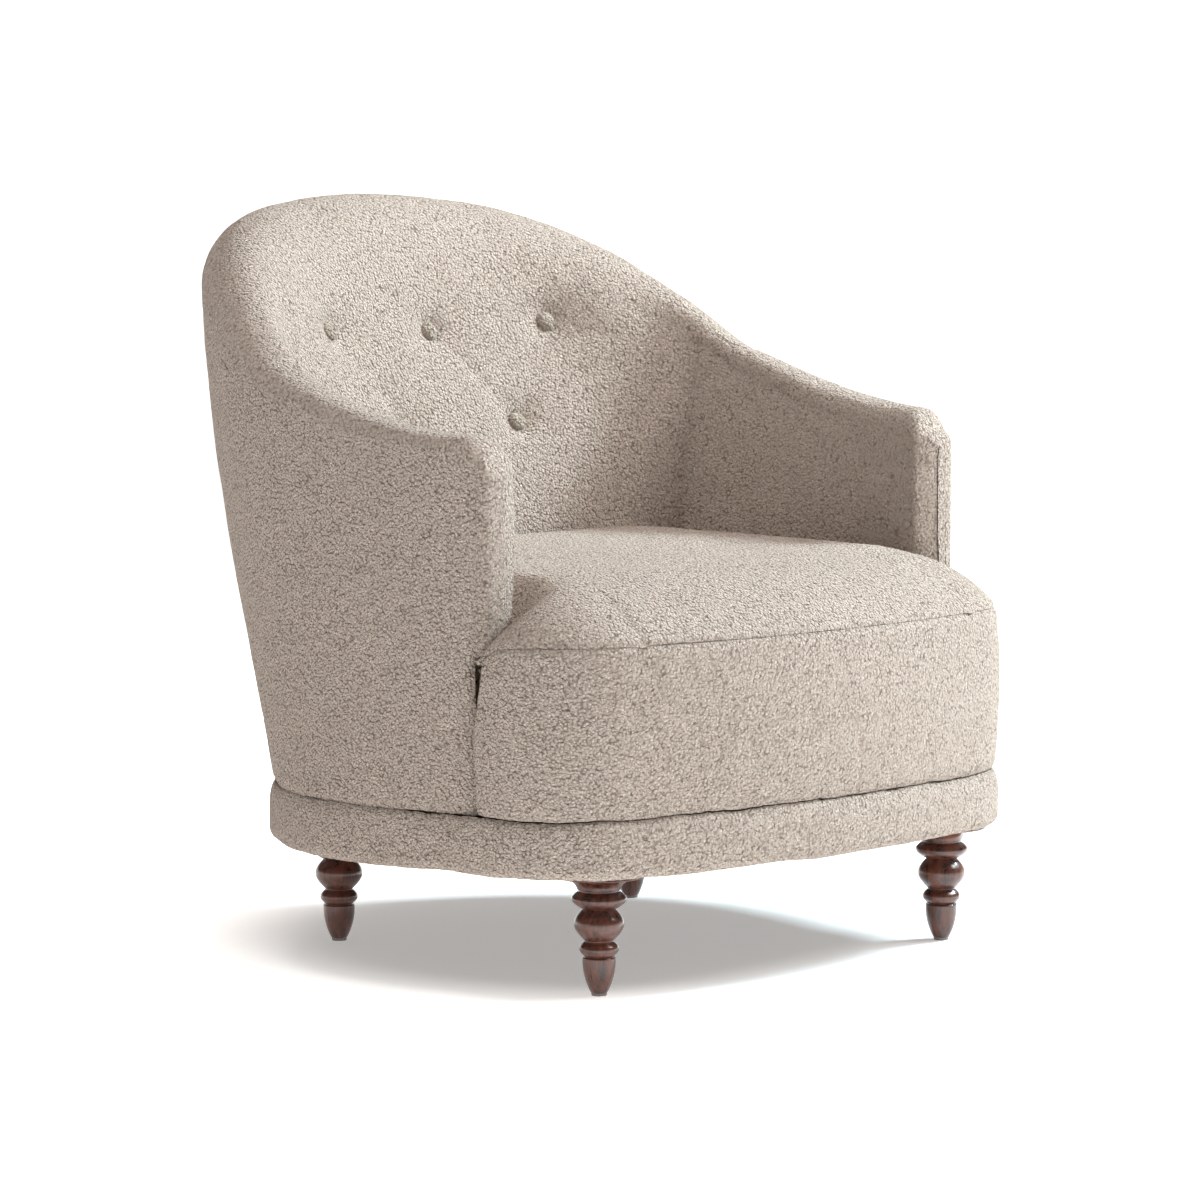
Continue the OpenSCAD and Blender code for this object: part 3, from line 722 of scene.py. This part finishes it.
# ---------------------------------------------------------------- outside covers
def outside_covers():
    """The sides' covers, held back a little where the seat's front starts, and the outside back."""
    q = np.linspace(0, COVER_Q, 200)
    p = np.linspace(ARM_END, BACK_SEAM, 250)
    g = surf(p[:, None], q[None, :])
    front = edge_distance(g)[0]
    g[..., 0] -= 3.2 * ease((392 - g[..., 2]) / 14) * near(front, 4.5)
    beside_seat = ease((g[..., 2] - 270) / 60) * ease((362 - g[..., 2]) / 10)
    g[..., 1] += 5. * beside_seat * near(front, 12)
    cover = fabric(g, (.2, 1., 2.6, .2), 4., .9)
    for side, s in SIDES:
        # The hems, deep at the ends, take the dark cloth: painted shade in the gap beside the seat's front.
        ob = mesh_from_grid("outside_cover_" + side, on_side(cover, s), CLOTH, flip=s < 0,
                            hem=10., reach=0., ends=(30., 0.), painted_shade=PAINTED_SHADE_CLOTH)
        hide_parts("outside_arm_cover_" + side)
    p, s = half_turn(np.linspace(BACK_SEAM, 360 - BACK_SEAM, 170))
    g = surf(p[:, None], q[None, :])
    g[s < 0] *= MIRROR
    ob = mesh_from_grid("outside_back", fabric(g, (1., 1., 2.6, .25), 4., .9), CLOTH)
    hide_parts("outside_back_cover")


# ---------------------------------------------------------------- seat
ARM_FRONT_Y = -203                          # about the front of the arms' facings
CUSHION_Y = (-197., 168.)                   # the cushion beside the arms, from front to back
CUSHION_X = (353., 330.)                    # its half width at those two lines, running in under the arms
PRESSED_Z = 387.                            # the cushion's height where it is pressed down along the arms
MIDDLE_RISE = 4                             # a further rise in the seat's middle, on top of the crown


def seat_inset(x, y):
    """Distance in from the seat's front outline."""
    side = SEAT_X - np.abs(x)
    bow = y - BOW_Y + np.sqrt(BOW_R ** 2 - x * x)
    cx, cy = np.abs(x) - CORNER_X, CORNER_Y - y
    return np.where((cx > 0) & (cy > 0), CORNER_R - np.hypot(cx, cy), np.minimum(side, bow))


def seat_height(x, y):
    """The crown, lower beside the arms, least so at the back, and lower again round their facings."""
    wide = np.abs(x)
    z = SEAM_Z + CROWN * rounded(seat_inset(x, y) / 180, 3)
    z = z + MIDDLE_RISE * np.exp(-(x / 190) ** 2 - ((y + 20) / 150) ** 2)
    arm_x = lerp(*INSIDE_X, np.clip((y - INSIDE_Y[0]) / (INSIDE_Y[1] - INSIDE_Y[0]), 0, 1))
    to_arm = np.clip(arm_x - wide, 0, 400)
    behind = ease((y + 208 - 16 * ease((wide - 314) / 28)) / 18)      # 1 beside the arms, 0 in front of them
    fade = lerp(1., .22, ease((y + 185) / 130))
    pressed = behind * fade * near(to_arm, 29, 3)
    z = lerp(z, PRESSED_Z, pressed)
    to_facing = np.hypot(np.clip(ARM_FRONT_Y - y, 0, 400), np.clip(306 - wide, 0, 400))
    dip = 33 - 15 * ease((wide - INSIDE_X[0]) / 52)
    inwards = 1 - behind * ease((INSIDE_X[0] - wide) / 20)
    return z - dip * (1 - pressed) * near(to_facing, 18, 1) * inwards


def seat_cushion():
    """The seat's top: rows from the bowed front edge to a straight one, then back between the arms."""
    cols = 290
    edge = resample(front_line(np.linspace(-1.03, 1.03, 4000)), cols)
    half = -edge[0, 0]
    straight = np.stack([np.linspace(-half, edge[-1, 0], cols), np.full(cols, CUSHION_Y[0])], -1)
    rows = [lerp(edge, straight, ease(t) * .35 + t * .65) for t in np.linspace(0, 1, 66)]
    for t in np.linspace(0, 1, 150)[1:]:
        reach = lerp(half - 14, lerp(*CUSHION_X, t), ease(t * 30))      # starts narrower, inside the facings
        rows.append(np.stack([np.linspace(-1, 1, cols) * reach, np.full(cols, lerp(*CUSHION_Y, t))], -1))
    plan = np.array(rows)
    top = np.concatenate([plan, seat_height(plan[..., 0], plan[..., 1])[..., None]], -1)
    cover = fabric(top, (3.4, 0, 0, 0), 2.8, flip=True)
    # The hems take the dark cloth: painted shade in the seam round the seat's top.
    ob = mesh_from_grid("seat_cushion", cover, CLOTH, flip=True, reach=0., painted_shade=PAINTED_SHADE_CLOTH)
    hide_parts("seat_top_cover", "seat_foam")


def seat_front():
    """The boxing under the seat's top: swollen a little, lower at the facings, parted from the sides."""
    line = resample(front_line(np.linspace(-1.046, 1.046, 6000)), 400)
    t = np.linspace(0, 1, 76)
    ahead_of_arm = np.clip(ARM_FRONT_Y - line[:, 1], 0, 500)
    top = SEAM_Z - 2.2 - 17 * near(ahead_of_arm, 18, 1)
    z = lerp(FOOT_Z, top[:, None], t[None, :])
    along = unit(np.gradient(line, axis=0))
    out = np.stack([along[:, 1], -along[:, 0]], -1)
    bulge = 5. * np.sin(np.pi * t) ** .8
    g = np.concatenate([line[:, None] + out[:, None] * bulge[None, :, None], z[..., None]], -1)
    gap = near(np.clip(-193 - line[:, 1], 0, 500), 9., 1)[:, None]
    g[..., 1] -= gap * (1. + 8. * ease((z - 258) / 92))
    g = fabric(g, (6.5, 6.5, 2.6, 3.2), 3.6)
    # The hems take the dark cloth: painted shade in the gaps at the seams.
    ob = mesh_from_grid("seat_front", g, CLOTH, hem=10., reach=0., ends=(2., 24.), painted_shade=PAINTED_SHADE_CLOTH)
    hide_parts("seat_boxing_cover", "front_pad")


# ---------------------------------------------------------------- base
BAND_OUT, BAND_R = 5., 12.                  # how far the band stands out, and the radius of its lower edge
BAND_LIP = 26                               # the band's top edge reaches its full width over this height
SHEET_IN = 17.                              # the dust sheet's edge lies this far inside the band's line


def base_outline():
    """The seat's front line and the shell's foot as one closed line, and its outward normals."""
    p, s = half_turn(np.linspace(ARM_END + 6, 360 - ARM_END - 6, 2000))
    shell = foot(p)
    shell[:, 0] *= s
    ring = resample(np.concatenate([front_line(np.linspace(-1, 1, 2000)), shell]), 980, closed=True)
    for _ in range(14):                     # the step beside the arm is a soft one
        ring = .25 * np.roll(ring, 1, 0) + .5 * ring + .25 * np.roll(ring, -1, 0)
    along = unit(np.roll(ring, -1, 0) - np.roll(ring, 1, 0))
    return ring, np.stack([along[:, 1], -along[:, 0]], -1)


def band_section():
    """Distance out and height from the seam down: the lip, the face, the rounded edge and the return."""
    low = BASE_Z + BAND_R
    lip = [(lerp(-2., BAND_OUT, math.sin(t * math.pi / 2) ** .6), lerp(FOOT_Z, FOOT_Z - BAND_LIP, t))
           for t in np.linspace(0, 1, 12)]
    face = [(BAND_OUT, lerp(FOOT_Z - BAND_LIP, low, t)) for t in np.linspace(0, 1, 10)[1:]]
    edge = [(BAND_OUT - BAND_R + BAND_R * math.cos(t), low - BAND_R * math.sin(t))
            for t in np.linspace(0, math.pi / 2, 9)[1:]]
    under = [(lerp(BAND_OUT - BAND_R, -24., t), BASE_Z + .5) for t in np.linspace(0, 1, 6)[1:]]
    return np.array(lip + face + edge + under)


def base_band(ring, out):
    sec = band_section()
    g = np.zeros((len(ring), len(sec), 3))
    g[..., :2] = ring[:, None] + out[:, None] * sec[None, :, :1]
    g[..., 2] = sec[None, :, 1]
    line = g[:, 20] * PLAN
    sag = 1.3 * soft_noise(line, 70., 31) + .7 * soft_noise(line, 31., 32)
    g[..., 2] += sag[:, None] * ease((FOOT_Z - sec[:, 1]) / 50)[None, :]
    g = fabric(g, (0, 0, 1.6, 0), 4., flip=True, wrap=True)
    ob = mesh_from_grid("base_band", g, CLOTH, flip=True, wrap=True)
    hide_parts("base_band_cover")


def dust_sheet(ring, out):
    """Black cloth under the base. It sags a little, and is pressed flat under each leg's top."""
    loop = ring - out * SHEET_IN
    edge = loop[::7]
    n = len(edge)
    t = np.linspace(.02, 1, 40)
    plan = lerp(edge.mean(0), edge[None], t[:, None, None])
    sag = .6 + 2.2 * np.sin(np.pi * (1 - t) * .5)[:, None] * np.ones(n)
    level = np.concatenate([plan, np.zeros((len(t), n, 1))], -1)
    sag = sag + .5 * soft_noise(level, 60., 41).reshape(len(t), n)
    sag[-1] = .5
    for _, x, y in LEGS:
        sag = sag * ease((np.hypot(plan[..., 0] - x, plan[..., 1] - y) - 46) / 40)
    grid = np.concatenate([plan, (BASE_Z - .1 - sag)[..., None]], -1).transpose(1, 0, 2)
    ob = mesh_from_grid("dust_sheet", grid, CAMBRIC, wrap=True)
    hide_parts("dust_cover")
    x, y = loop.T


# ---------------------------------------------------------------- legs
def bead(z0, z1, r0, r1, n=14):
    """A rounded ring on the leg, from z0 to z1: radius r0 at its ends and r1 in the middle."""
    t = np.linspace(0, 1, n)
    return np.stack([r0 + (r1 - r0) * np.sin(np.pi * t), lerp(z0, z1, t)], -1)


def leg_profile():
    """Radius and height from the foot up: egg, thin bead, ball, bead and the flare under the base."""
    t = np.linspace(0, 1, 26)
    egg = np.stack([8.6 + 9 * np.maximum(np.sin(np.pi * t ** .8 / 1.85), 0) ** 1.1, lerp(3., 41., t)], -1)
    turn = np.pi / 2 * np.linspace(0, 1, 18)[1:]
    flare = np.stack([23 + 25.5 * (1 - np.cos(turn)), lerp(112., BASE_Z - 2, np.sin(turn))], -1)
    sole = [[.01, 3.], [7.6, 3.]]
    head = [[48.5, BASE_Z - .2], [.01, BASE_Z - .2]]
    beads = [bead(41, 58.8, 14.5, 21.1), bead(58.8, 94.1, 15.5, 26.6, 22), bead(94.1, 112, 21, 29.3)]
    return np.concatenate([sole, egg, *beads, flare, head])


def legs():
    r, z = leg_profile().T
    turn = np.linspace(0, 2 * np.pi, 96, endpoint=False)[:, None]
    lathe = np.stack([r * np.cos(turn), r * np.sin(turn), np.broadcast_to(z, (len(turn), len(z)))], -1)
    for where, x, y in LEGS:
        ob = mesh_from_grid("turned_leg_" + where, lathe + np.array([x, y, 0.]), WOOD, wrap=True)
        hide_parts("leg_" + where)


# ---------------------------------------------------------------- all pieces
inside_arms()
arm_facings()
for i, (spot, facing) in enumerate(inside_back()):
    button(i + 1, spot, facing)
outside_covers()
seat_cushion()
seat_front()
outline, outwards = base_outline()
base_band(outline, outwards)
dust_sheet(outline, outwards)
legs()

# CAD nodes that stay, by the start of their names
STAY = {"glide": NYLON, "hanger": STEEL, "tee": STEEL, "spring_clips": STEEL, "dust_cover_staples": STEEL,
        "seat_springs": STEEL, "base_ring": PLY, "seat_ring": PLY, "arm_panel": PLY, "back_panel": PLY,
        "corner": TIMBER, "frame_posts": TIMBER, "seat_insulator": FELT}
for name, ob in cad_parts.items():
    for start, mat in STAY.items():
        if name.startswith(start):
            for material_slot in ob.material_slots:
                material_slot.material = mat


# ---------------------------------------------------------------- stage, lights, camera; in metres
PAINTED_SHADOW_AT = (.05, -.05, 0.)                   # centre of the painted shadow: the floor's dimmer round patch, under the chair
PAINTED_SHADOW_R = (.33, .52)                         # radii where the painted shadow's full dimness ends and where the full glow starts
SHADOW_AND_GLOW = (.355, .84)                          # emission strength inside, a painted shadow, and outside, where the glow paints out the lights' cast shadows
SWEEP_N = 64                                # steps round the floor's rim
AIM = (0, 0, .45)                           # the lights point here
LIGHT_FAR = 3.8
CAM_TURN, CAM_DOWN = math.radians(43.58), math.radians(5.67)
CAM_FAR, CAM_Z = 6., .9769
CAM_AIM_Y = -.05155                         # the camera's axis crosses x = 0 here, seen from above
CAM_LENS = 161.577


def studio_floor():
    """Pale floor that glows by itself, less so in a soft round patch under the chair: a painted shadow, while
    the full glow around it paints out the lights' cast shadows.
    """
    m = Net("studio_floor")
    m.set(Base_Color=(.84, .84, .84, 1.), Roughness=.95, Specular_IOR_Level=0.)
    far = m.node("ShaderNodeVectorMath", operation="LENGTH")
    m.put(far, 0, m.vec("SUBTRACT", m.co, PAINTED_SHADOW_AT))
    m.set(Emission_Color=(1., .965, .935, 1.))
    m.set(Emission_Strength=m.range(far.outputs["Value"], *PAINTED_SHADOW_R, *SHADOW_AND_GLOW))
    return m.mat


def studio_sweep():
    """A round floor whose rim turns up."""
    section = [(.001, 0.), (3., 0.), (6., 0.), (9.5, 0.)]
    section += [(9.5 + math.sin(t), 1 - math.cos(t)) for t in np.linspace(.1, math.pi / 2, 10)]
    section += [(10.5, 1.8)]
    turn = [i * 2 * math.pi / SWEEP_N for i in range(SWEEP_N)]
    verts = [(r * math.cos(a), r * math.sin(a), z) for a in turn for r, z in section]
    me = bpy.data.meshes.new("studio_sweep")
    me.from_pydata(verts, [], quads(SWEEP_N, len(section), wrap=True).tolist())
    me.polygons.foreach_set("use_smooth", [True] * len(me.polygons))
    me.materials.append(studio_floor())
    floor = bpy.data.objects.new("studio_sweep", me)
    bpy.context.scene.collection.objects.link(floor)


def area_light(name, azimuth, elevation, size, watts, colour):
    a, e = math.radians(azimuth), math.radians(elevation)
    at = Vector((math.sin(a) * math.cos(e), -math.cos(a) * math.cos(e), math.sin(e))) * LIGHT_FAR
    light = bpy.data.lights.new(name, "AREA")
    light.shape = "RECTANGLE"
    light.size, light.size_y = size, size
    light.energy = watts
    light.color = colour
    ob = bpy.data.objects.new(name, light)
    ob.location = at + Vector(AIM)
    ob.rotation_euler = at.to_track_quat("Z", "Y").to_euler()
    bpy.context.scene.collection.objects.link(ob)


def camera():
    ahead = Vector((math.sin(CAM_TURN) * math.cos(CAM_DOWN), math.cos(CAM_TURN) * math.cos(CAM_DOWN),
                    -math.sin(CAM_DOWN)))
    right = Vector((math.cos(CAM_TURN), -math.sin(CAM_TURN), 0))
    up = right.cross(ahead)
    at = Vector((-math.sin(CAM_TURN) * CAM_FAR, -math.cos(CAM_TURN) * CAM_FAR + CAM_AIM_Y, CAM_Z))
    lens = bpy.data.cameras.new("camera")
    lens.sensor_width = 36
    lens.lens = CAM_LENS
    lens.clip_end = 50
    ob = bpy.data.objects.new("camera", lens)
    ob.matrix_world = Matrix.Translation(at) @ Matrix((right, up, -ahead)).transposed().to_4x4()
    bpy.context.scene.collection.objects.link(ob)
    return ob


studio_sweep()
scene = bpy.context.scene
scene.world = bpy.data.worlds.new("studio")
scene.world.use_nodes = True
scene.world.node_tree.nodes["Background"].inputs[0].default_value = (1, 1, 1, 1)
scene.world.node_tree.nodes["Background"].inputs[1].default_value = .10
scene.view_settings.view_transform = "Standard"
area_light("key", 72, 35, .8, 232, (.76, .93, 1.))
area_light("front", 45, 40, 1.2, 58, (1., .98, .96))
area_light("top", 0, 88, 2.4, 102, (1., .95, .92))
scene.camera = camera()
